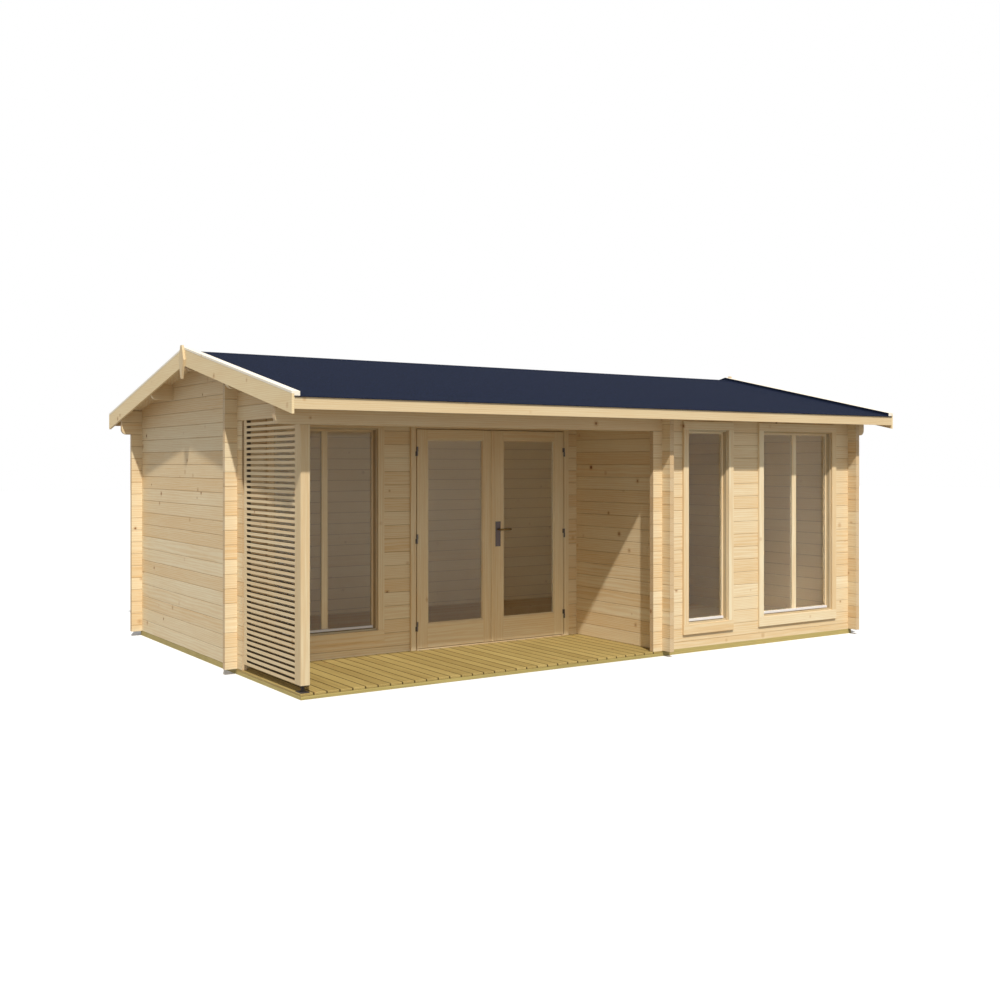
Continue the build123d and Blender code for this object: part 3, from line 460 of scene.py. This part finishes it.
felt, tree, output = new_material("mineral surfaced bitumen felt")
coordinates = add_node(tree, "ShaderNodeTexCoord").outputs["Object"]
grit = add_node(tree, "ShaderNodeTexNoise",
                {"Vector": coordinates, "Scale": 1 / SPECKLE, "Detail": 3, "Roughness": 0.7})
tones = add_node(tree, "ShaderNodeMapRange", {"Value": grit.outputs[0], "From Min": 0.35, "From Max": 0.65})
speckle = add_node(tree, "ShaderNodeMix", {0: tones.outputs[0], 6: linear("#131820"), 7: linear("#1e253c")},
                   data_type="RGBA")
relief = add_node(tree, "ShaderNodeBump",
                  {"Height": grit.outputs[0], "Strength": 0.5, "Distance": SPECKLE_HIGH})
shader = add_node(tree, "ShaderNodeBsdfPrincipled",
                  {"Base Color": speckle.outputs[2], "Roughness": 1.0, "Specular IOR Level": 0.05,
                   "Normal": relief.outputs[0]})
tree.links.new(shader.outputs[0], output.inputs[0])
dress(felt, "roof_felt_front", "roof_felt_rear")

# %% [markdown]
# ## Felt at the verges
#
# At both gables the felt is turned up against the verge cap, which hides its edge. A solid could be bent over
# the ridge, but the upturn has the same section all along, so one profile carried along a path is enough. The
# profile is drawn as offsets from the cap's inner side and from the felt: up the back, over the top, down the
# front and out in a small cove, which is how felt bends. It is set up at both eaves and at the ridge, and the
# three are joined.

# %% Felt turned up at the verges
PITCH = math.radians(12.2)
UPTURN, COVE, COVE_POINTS = 0.004, 0.012, 5
BEHIND, UNDER_CAP, SHORT_OF_EAVES = 0.0005, 0.0015, 0.001


def mesh_piece(name, points, faces, material):
    """A new piece from its corner points in metres and its faces, given as lists of corner numbers."""
    mesh = bpy.data.meshes.new(name)
    mesh.from_pydata(np.reshape(points, (-1, 3)).tolist(), [], faces)
    mesh.materials.append(material)
    piece = bpy.data.objects.new(name, mesh)
    scene.collection.objects.link(piece)
    return piece


def felt_upturn(name, cap, side):
    """Strip of felt along the inner side of a verge cap; side is 1 where the roof lies on the cap's right.

    A point of the section at distance y from the ridge line sinks by y * tan(pitch). The cove's points are
    the corner plus COVE * (1 - cos(a), 1 - sin(a)), with a from 0 to 90 degrees.
    """
    low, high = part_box(cap)
    inner = high[0] if side == 1 else low[0]
    felt_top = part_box("roof_felt_front")[1][2]
    rise = high[2] - felt_top - UNDER_CAP
    turn = np.radians(np.linspace(0, 90, COVE_POINTS))
    out = np.concatenate(([BEHIND, BEHIND, UPTURN], UPTURN + COVE * (1 - np.cos(turn))))
    up = np.concatenate(([BEHIND, rise, rise], BEHIND + COVE * (1 - np.sin(turn))))
    stations = np.array([low[1] + SHORT_OF_EAVES, 0.0, high[1] - SHORT_OF_EAVES])
    points = np.zeros((len(stations), len(out), 3))
    points[:, :, 0] = inner + side * out
    points[:, :, 1] = stations[:, None]
    points[:, :, 2] = felt_top + up - np.abs(stations)[:, None] * math.tan(PITCH)
    count, last = len(out), (len(stations) - 1) * len(out)
    faces = [[k + a, k + (a + 1) % count, k + count + (a + 1) % count, k + count + a]
             for k in range(0, last, count) for a in range(count)]
    faces += [list(range(count))[::-1], list(range(last, last + count))]
    piece = mesh_piece(name, points, [face[::side] for face in faces], felt)
    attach(piece, "cabin")
    print(name, "rises", round(rise * 1000), "mm")


felt_upturn("left_felt_upturn", "left_verge_caps", 1)
felt_upturn("right_felt_upturn", "right_verge_caps", -1)

# %% [markdown]
# ## Felt over the ridge
#
# The two slopes' felt meets at the ridge. A strip of the same felt is bonded over the joint, 100 mm down each
# slope, so no rain gets in. It could be a line in the material, but its edges stand up from the roof and
# catch the light, so it is a thin sheet whose section is a low roof shape, carried along the ridge.

# %% Felt strip over the ridge
STRIP_REACH, STRIP_THICK, BOND = 0.100, 0.002, 0.0003


def ridge_strip(name):
    """Strip over the ridge: at distance y from it the underside lies y * tan(pitch) below the felt's top."""
    x0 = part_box("left_verge_caps")[1][0] + UPTURN + COVE
    x1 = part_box("right_verge_caps")[0][0] - UPTURN - COVE
    across = np.array([-STRIP_REACH, 0.0, STRIP_REACH, STRIP_REACH, 0.0, -STRIP_REACH])
    lift = np.array([0.0, 0.0, 0.0, 1.0, 1.0, 1.0]) * STRIP_THICK + BOND
    count = len(across)
    points = np.zeros((2, count, 3))
    points[:, :, 0] = np.array([x0, x1])[:, None]
    points[:, :, 1] = across
    points[:, :, 2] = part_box("roof_felt_front")[1][2] - np.abs(across) * math.tan(PITCH) + lift
    faces = [[k, (k + 1) % count, count + (k + 1) % count, count + k] for k in range(count)]
    faces += [[5, 4, 1, 0], [4, 3, 2, 1], [6, 7, 10, 11], [7, 8, 9, 10]]
    piece = mesh_piece(name, points, faces, felt)
    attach(piece, "cabin")
    print(name, "is", round(x1 - x0, 2), "m long")


ridge_strip("ridge_felt_strip")

# %% [markdown]
# ## Metal
#
# The hinges are dark zinc-plated steel, the lock's plates worn steel and the lever dull bronze. The post's
# foot is painted dark, and the bars under the windows are aluminium with a pale powder coating. One flat
# colour would look like plastic. Handling and weather leave plating and paint uneven in tone and in gloss, so
# a fine noise varies both. A coating isn't a metal to the eye, so its metallic value is 0.

# %% Metal materials
WEAR_SCALE = 160
GLOSS_SPREAD = 0.08


def metal(name, pale, deep, rough, metallic=1.0):
    """Metal, bare or coated, whose colour and roughness vary a little over 6 mm."""
    material, tree, output = new_material(name)
    coordinates = add_node(tree, "ShaderNodeTexCoord").outputs["Object"]
    wear = add_node(tree, "ShaderNodeTexNoise", {"Vector": coordinates, "Scale": WEAR_SCALE, "Detail": 4})
    colour = add_node(tree, "ShaderNodeMix", {0: wear.outputs[0], 6: linear(pale), 7: linear(deep)},
                      data_type="RGBA")
    dull = add_node(tree, "ShaderNodeMapRange",
                    {"Value": wear.outputs[0], "To Min": rough - GLOSS_SPREAD,
                     "To Max": rough + GLOSS_SPREAD})
    shader = add_node(tree, "ShaderNodeBsdfPrincipled",
                      {"Base Color": colour.outputs[2], "Roughness": dull.outputs[0], "Metallic": metallic})
    tree.links.new(shader.outputs[0], output.inputs[0])
    return material


dress(metal("dark zinc plated steel", "#7a736a", "#4f4a44", 0.45),
      "frame_hinges", "left_leaf_hinges", "right_leaf_hinges")
dress(metal("worn steel plate", "#6e6361", "#544c4a", 0.5), "lock_plates")
dress(metal("dull bronzed lever", "#8a6f45", "#5f4a2c", 0.5), "door_lever")
dress(metal("dark painted steel", "#43382f", "#312923", 0.75, metallic=0.0), "post_foot")
bar_metal = metal("powder coated aluminium bar", "#e2dedb", "#cfc9c4", 0.5, metallic=0.0)

# %% [markdown]
# ## Glass
#
# The panes are clear float glass. Real glass has an index of refraction of 1.5 and mirrors a twenty-fifth of
# what falls on it squarely. The studio round this cabin is far paler than a garden, so its mirror image would
# hide the room. An index of 1.25 mirrors about a third as much, and keeps the panes dark and clear.
#
# Glass that bends light throws a black shadow in a plain render, and tracing its true light is slow. For
# shadow rays the pane is therefore a plain filter. It is a dark one, which keeps the room behind it dim.

# %% Glass material
GLASS_IOR = 1.25

glass, tree, output = new_material("clear float glass")
body = add_node(tree, "ShaderNodeBsdfPrincipled",
                {"Base Color": linear("#ffffff"), "Roughness": 0.0, "IOR": GLASS_IOR,
                 "Transmission Weight": 1.0})
clear = add_node(tree, "ShaderNodeBsdfTransparent", {"Color": linear("#686868")})
rays = add_node(tree, "ShaderNodeLightPath")
pane = add_node(tree, "ShaderNodeMixShader",
                {0: rays.outputs["Is Shadow Ray"], 1: body.outputs[0], 2: clear.outputs[0]})
tree.links.new(pane.outputs[0], output.inputs[0])
dress(glass, "window_glass", "left_door_glass", "right_door_glass")

# %% [markdown]
# ## Boards
#
# Joinery is put together from planed boards, whose edges are eased so that they don't splinter. A Bevel
# modifier on cubes could do that, one object at a time. Here one function makes any number of boards as one
# mesh, and works out all their corners at once: each board is a box whose edges are cut off at 45 degrees. On
# each of its faces the four corners lie at full depth along the face's own axis, and a chamfer short of it
# along the other two, which gives 24. Every corner also gets its place in the board's own coordinates, which
# the pine shader reads, so the grain follows each board and no two boards share a pattern.

# %% Faces of a chamfered box
SIGNS = np.array([(i, j, k) for i in (-1, 1) for j in (-1, 1) for k in (-1, 1)], float)
PAIRS = ((-1, -1), (1, -1), (1, 1), (-1, 1))


def box_corner(axis, side, pair):
    """Number of the box's corner on that side of an axis, with that pair of signs on the next two axes."""
    return int(np.flatnonzero((SIGNS == np.roll((side, *pair), axis)).all(axis=1))[0])


def chamfered_faces():
    """Faces of a chamfered box, as lists of corners: 3 * c + a is box corner c's point on the face of axis a.

    Six faces, twelve strips along the edges and eight triangles at the corners, all turned outwards.
    """
    faces = []
    for axis in range(3):
        second, third = (axis + 1) % 3, (axis + 2) % 3
        for side in (-1, 1):
            faces.append([3 * box_corner(axis, side, pair) + axis for pair in PAIRS][::side])
        for pair in PAIRS:
            low, high = (3 * box_corner(axis, side, pair) for side in (-1, 1))
            strip = [low + second, high + second, high + third, low + third]
            faces.append(strip[::-pair[0] * pair[1]])
    faces += [[3 * c, 3 * c + 1, 3 * c + 2][::int(np.prod(SIGNS[c]))] for c in range(8)]
    return faces


BOX_FACES = chamfered_faces()
print("a board has", len(BOX_FACES), "faces")

# %% Board builder
CHAMFER = 0.0015
BOARD_SHIFT = 50
random = np.random.default_rng(seed=11)


def boards(name, boxes, material, body, stands_for=(), chamfer=CHAMFER):
    """One mesh of chamfered boards. boxes holds (x0, x1, y0, y1, z0, z1) for each board.

    A corner is centre + sign * (half size - chamfer), plus sign * chamfer along its own face's axis.
    The grain runs along a board's longest side.
    """
    boxes = np.array(boxes, float)
    count, corners = len(boxes), 3 * len(SIGNS)
    low, high = boxes[:, 0::2], boxes[:, 1::2]
    centre, half = (low + high) / 2, (high - low) / 2
    cut = np.minimum(chamfer, half.min(axis=1) / 2)[:, None, None, None]
    signs = SIGNS[None, :, None, :]
    corner = signs * (half[:, None, None, :] - cut) + signs * cut * np.eye(3)
    faces = [[corners * board + number for number in face] for board in range(count) for face in BOX_FACES]
    piece = mesh_piece(name, centre[:, None, None, :] + corner, faces, material)
    # board coordinates: the longest side first, then a random cut of the pattern
    order = np.argsort(-half, axis=1)[:, None, :]
    along = np.take_along_axis(corner.reshape(count, corners, 3), order, axis=2)
    along = along + random.uniform(0, BOARD_SHIFT, (count, 1, 3))
    piece.data.attributes.new("board", "FLOAT_VECTOR", "POINT").data.foreach_set("vector", along.ravel())
    tone = np.repeat(random.uniform(0, 1, count), corners)
    piece.data.attributes.new("tone", "FLOAT", "POINT").data.foreach_set("value", tone)
    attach(piece, body)
    if stands_for:
        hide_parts(*stands_for)
    print(name, "has", count, "boards")


print("boards have edges eased by", 1000 * CHAMFER, "mm")

# %% [markdown]
# ## Joinery wood
#
# Windows and doors are planed from laminated pine that is chosen with few knots, so one is drawn in each
# 300 mm cube and not in each 200 mm one. The window linings are drawn darker and greyer, as painted shade.
# Object
# coordinates would run one pattern through all the boards of a frame, so this wood reads the attributes that
# the board builder wrote.

# %% Joinery material
JOINERY_KNOT = "#8a5a30"
JOINERY_KNOT_CELL = 0.3


def joinery_wood(name, pale=BARE_PALE, deep=BARE_DEEP, knot=JOINERY_KNOT):
    """Pine on the board builder's own coordinates."""
    material, tree, output = new_material(name)
    place = add_node(tree, "ShaderNodeAttribute", attribute_name="board").outputs["Vector"]
    tone = add_node(tree, "ShaderNodeAttribute", attribute_name="tone").outputs["Fac"]
    pine(tree, place, tone, (pale, deep, knot), output, knot_cell=JOINERY_KNOT_CELL)
    return material


joinery = joinery_wood("planed laminated pine")
# the linings are darker and greyer: painted shade in the window reveals
shaded_lining_wood = joinery_wood("pine lining with painted shade", "#cbbfa1", "#bb9f75")
print("made", joinery.name, "and", shaded_lining_wood.name)

# %% [markdown]
# ## Windows
#
# Each window is a box frame, lined with wood drawn darker as painted shade, with casing boards over the logs
# on both sides and a fixed sash set 40 mm back in it. The sash has two stiles, two rails and, in the wide
# windows, a mullion. A coated bar under the panes throws rain off the lower rail. Lining, casings and sash
# are each a ring of four boards round the opening, so one function works out a ring, from its outline and the
# widths of its boards.

# %% Rings of boards


def inset(wide, high, widths):
    """What is left of an outline, its places across and up, less widths at its sides, head and foot."""
    sides, head, foot = widths
    return (wide[0] + sides, wide[1] - sides), (high[0] + foot, high[1] - head)


def ring(wide, high, deep, widths, long_sides=False):
    """Four boards inside an outline in a wall along X: either the sides or the other two run full length.

    deep is the boards' places from front to back. Each board lies between the outline and its inset.
    """
    (x0, x1), (z0, z1) = wide, high
    (left, right), (bottom, top) = inset(wide, high, widths)
    ends = (z0, z1) if long_sides else (bottom, top)
    inner = (left, right) if long_sides else (x0, x1)
    return [(x0, left, *deep, *ends), (right, x1, *deep, *ends), (*inner, *deep, z0, bottom),
            (*inner, *deep, top, z1)]


print("in 1 by 2 m, boards 0.1, 0.2 and 0.3 m wide leave", inset((0, 1), (0, 2), (0.1, 0.2, 0.3)))

# %% Window frames
FIT, LOG = 0.0003, 0.044
CASING, LAP = np.array([0.059, 0.072, 0.088]), np.array([0.024, 0.040, 0.054])
CASING_THICK, INNER_CASING, LINING_SHOWS = 0.020, 0.014, 0.014
SASH, SASH_BACK, SASH_THICK, MULLION = np.array([0.018, 0.018, 0.026]), 0.040, 0.030, 0.056
DRIP_HIGH, DRIP_REACH = 0.020, 0.024

for number, panes in ((1, 1), (2, 2), (3, 2)):
    low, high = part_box(f"window_{number}_frame")
    outline = (low[0], high[0]), (low[2], high[2])
    face = low[1] + CASING_THICK + FIT
    back = face + LOG + FIT
    sash = (face + SASH_BACK, face + SASH_BACK + SASH_THICK)
    rows = ring(*outline, (low[1], face - FIT), CASING) + ring(*outline, (back, back + INNER_CASING), CASING)
    lining = ring(*inset(*outline, LAP + FIT), (face - FIT, sash[1]), CASING + LINING_SHOWS - LAP - FIT,
                  long_sides=True)
    opening = inset(*outline, CASING + LINING_SHOWS)
    rows += ring(*opening, sash, SASH, long_sides=True)
    (left, right), (bottom, top) = inset(*opening, SASH)
    bay = (right - left + MULLION) / panes
    rows += [(left + k * bay - MULLION, left + k * bay, *sash, bottom, top) for k in range(1, panes)]
    bars = [(left, right, sash[0] - DRIP_REACH, sash[0], bottom - DRIP_HIGH, bottom)]
    boards(f"window_{number}_joinery", rows, joinery, "cabin", [f"window_{number}_frame"])
    boards(f"window_{number}_lining", lining, shaded_lining_wood, "cabin")
    boards(f"window_{number}_drip_bar", bars, bar_metal, "cabin")

# %% [markdown]
# ## Door frame
#
# The double door stands in a frame with casings on both faces of the wall, stops behind the leaves, and a
# threshold under them. Jambs, casings and stops are the same figure, two uprights with a head between them,
# so one function gives their boards. The sizes start from the leaves' own boxes, so the leaves always keep
# 5 mm of air to swing in.

# %% Door frame
JAMB, DOOR_CASING, CASING_GAP, STOP, SWING = 0.040, 0.052, 0.0035, 0.012, 0.005
INNER_LIFT, THRESHOLD = 0.0193, 0.010


def three_sides(left, right, deep, foot, top, outer_top, width):
    """Two uprights, and a head between them, round a doorway open from left to right and up to top."""
    return [(left - width, left, *deep, foot, outer_top), (right, right + width, *deep, foot, outer_top),
            (left, right, *deep, top, outer_top)]


low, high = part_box("door_frame")
leaves = {side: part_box(f"{side}_door_leaf") for side in ("left", "right")}
(leaf_low, leaf_high), right_edge = leaves["left"], leaves["right"][1][0]
left, right, foot, head = leaf_low[0] - SWING, right_edge + SWING, low[2], leaf_high[2] + SWING
face = low[1] + CASING_THICK
stop = (leaf_high[1] + SWING, face + FIT + LOG + FIT)
rows = three_sides(left, right, (face, stop[1]), foot, head, head + JAMB, JAMB)
for deep, base in (((low[1], face), foot), ((stop[1], high[1]), foot + INNER_LIFT)):
    rows += three_sides(left - CASING_GAP, right + CASING_GAP, deep, base, head + CASING_GAP, high[2],
                        DOOR_CASING)
rows += three_sides(left + STOP, right - STOP, stop, foot, head - STOP, head, STOP)
rows += [(left + STOP, right - STOP, *stop, foot, leaf_low[2] + STOP),
         (left, right, leaf_low[1] + FIT, stop[0], foot, foot + THRESHOLD)]
boards("door_frame_joinery", rows, joinery, "cabin", ["door_frame"])

# %% [markdown]
# ## Door leaves
#
# A leaf has two stiles, a top rail and a broad bottom rail round its pane, with beads that hold the glass on
# both faces. The stiles run full height and the rails fit between them, as a joiner makes a door that mustn't
# sag. A strip runs down the outside of the left leaf, along the edge where the two meet. Each leaf's joinery
# rides on its own body, so that it swings with the glass and the hinges.

# %% Door leaves
LEAF_WIDTHS, LEAF_THICK = np.array([0.105, 0.083, 0.203]), 0.040
BEAD_WIDTHS, BEAD_STEP = np.full(3, 0.012), 0.008
STRIP = 0.025

for side, (low, high) in leaves.items():
    outline = (low[0], high[0]), (low[2], high[2])
    front, back = high[1] - LEAF_THICK, high[1]
    rows = [(high[0] - STRIP, high[0], low[1], front, low[2], high[2])] if side == "left" else []
    rows += ring(*outline, (front, back), LEAF_WIDTHS, long_sides=True)
    rows += ring(*inset(*outline, LEAF_WIDTHS), (front + BEAD_STEP, back - BEAD_STEP), BEAD_WIDTHS)
    boards(f"{side}_leaf_joinery", rows, joinery, f"{side}_leaf", [f"{side}_door_leaf"])

# %% [markdown]
# ## Deck
#
# The deck's boards are pine that was soaked in a green salt, which weathers to a yellow-brown. They lie 5 mm
# apart, so that rain runs off, on three bearers, and run out over a trim board at the front. Another trim
# board closes the left side. Dark stripes on a slab could stand for the gaps, but they would cast no shade.

# %% Deck
DECK_BOARDS, DECK_GAP, DECK_THICK, DECK_CHAMFER = 33, 0.005, 0.019, 0.003
TRIM, BEARER = 0.020, 0.070

low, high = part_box("veranda_deck")
spacing = (high[0] - low[0] + DECK_GAP) / DECK_BOARDS
under = high[2] - DECK_THICK
rows = [(low[0] + k * spacing, low[0] + (k + 1) * spacing - DECK_GAP, low[1], high[1], under, high[2])
        for k in range(DECK_BOARDS)]
# the deck boards darken beside the gaps: painted shade
deck_wood = board_wood("impregnated pine deck", "Y", spacing, low[0] - DECK_GAP / 2, pale="#bba364",
                       deep="#967e47", knot="#5f4c26", edge="#4a3a1c")
boards("deck_boards", rows, deck_wood, "cabin", ["veranda_deck"], chamfer=DECK_CHAMFER)

# %% Deck bearers and trim
layer = (low[2], under - FIT)
fronts = (low[1] + TRIM, (low[1] + high[1] - BEARER) / 2, high[1] - BEARER)
rows = [(low[0] + TRIM, high[0], y, y + BEARER, *layer) for y in fronts]
rows += [(low[0], high[0], low[1], low[1] + TRIM, *layer),
         (low[0], low[0] + TRIM, low[1] + TRIM, high[1], *layer)]
bearer_wood = joinery_wood("impregnated pine bearers", "#c9b572", "#a18f55", BEAM_KNOT)
boards("deck_bearers", rows, bearer_wood, "cabin")

# %% [markdown]
# ## Floor
#
# The cabin stands on a plain pale floor, which keeps its shadow. A white floor throws light up at the walls,
# more than real ground would. Darker light would cure that, but then the floor wouldn't look pale. So it is
# pale only for the eye, in reflections and through glass, and grey for the light that it passes on.

# %% Floor
HALF_WIDE = 60.0


def seen_rays(tree):
    """1 for rays from the camera, off a gloss or through glass, and 0 for light that is passed on."""
    rays = add_node(tree, "ShaderNodeLightPath").outputs
    seen = add_node(tree, "ShaderNodeMath", {0: rays["Is Camera Ray"], 1: rays["Is Glossy Ray"]},
                    operation="MAXIMUM")
    seen = add_node(tree, "ShaderNodeMath", {0: seen.outputs[0], 1: rays["Is Transmission Ray"]},
                    operation="MAXIMUM")
    return seen.outputs[0]


ground, tree, output = new_material("plain pale floor")
colour = add_node(tree, "ShaderNodeMix", {0: seen_rays(tree), 6: linear("#8c8a86"), 7: linear("#f2f2f2")},
                  data_type="RGBA")
shader = add_node(tree, "ShaderNodeBsdfDiffuse", {"Color": colour.outputs[2]})
tree.links.new(shader.outputs[0], output.inputs[0])
points = [(x * HALF_WIDE, y * HALF_WIDE, 0) for x, y in PAIRS]
floor = mesh_piece("floor", points, [(0, 1, 2, 3)], ground)
print("floor", 2 * HALF_WIDE, "m wide")

# %% [markdown]
# ## Sky and lamps
#
# The light is plain and soft: a pale sky fills the shade, and one sun lamp, a little softened, stands high in
# front and to the left. A second, weak sun comes from the front and low down, over a wide angle, for the
# light that a garden sends back at the walls. The sky is white to the eye and duller as a light.

# %% Sky
world = bpy.data.worlds.new("studio")
scene.world = world
world.use_nodes = True
tree = world.node_tree
tree.nodes.clear()
tint = add_node(tree, "ShaderNodeMix",
                {0: seen_rays(tree), 6: (0.46, 0.475, 0.495, 1.0), 7: (1.0, 1.0, 1.0, 1.0)}, data_type="RGBA")
sky = add_node(tree, "ShaderNodeBackground", {"Color": tint.outputs[2], "Strength": 1.0})
add_node(tree, "ShaderNodeOutputWorld", {0: sky.outputs[0]})
print("sky with", len(tree.nodes), "nodes")

# %% Sun and fill
LAMPS = {"sun": (3.7, (1.0, 0.985, 0.955), 1.5, (0.413, 1.0, -1.31)),
         "fill": (0.2, (0.9, 1.0, 1.1), 60, (0.25, 1.0, -0.12))}

for name, (strength, colour, spread, (right, ahead, up)) in LAMPS.items():
    lamp = bpy.data.objects.new(name, bpy.data.lights.new(name, "SUN"))
    lamp.data.energy = strength
    lamp.data.color = colour
    lamp.data.angle = math.radians(spread)
    # a lamp shines down: tip it forward by one angle, then turn it to its heading by another
    tip, turn = math.atan2(math.hypot(right, ahead), -up), math.atan2(ahead, right) - math.pi / 2
    lamp.rotation_euler = (tip, 0, turn)
    scene.collection.objects.link(lamp)
    print(name, strength, "W/m2,", round(90 - math.degrees(tip)), "degrees above level")
scene.view_settings.view_transform = "Standard"
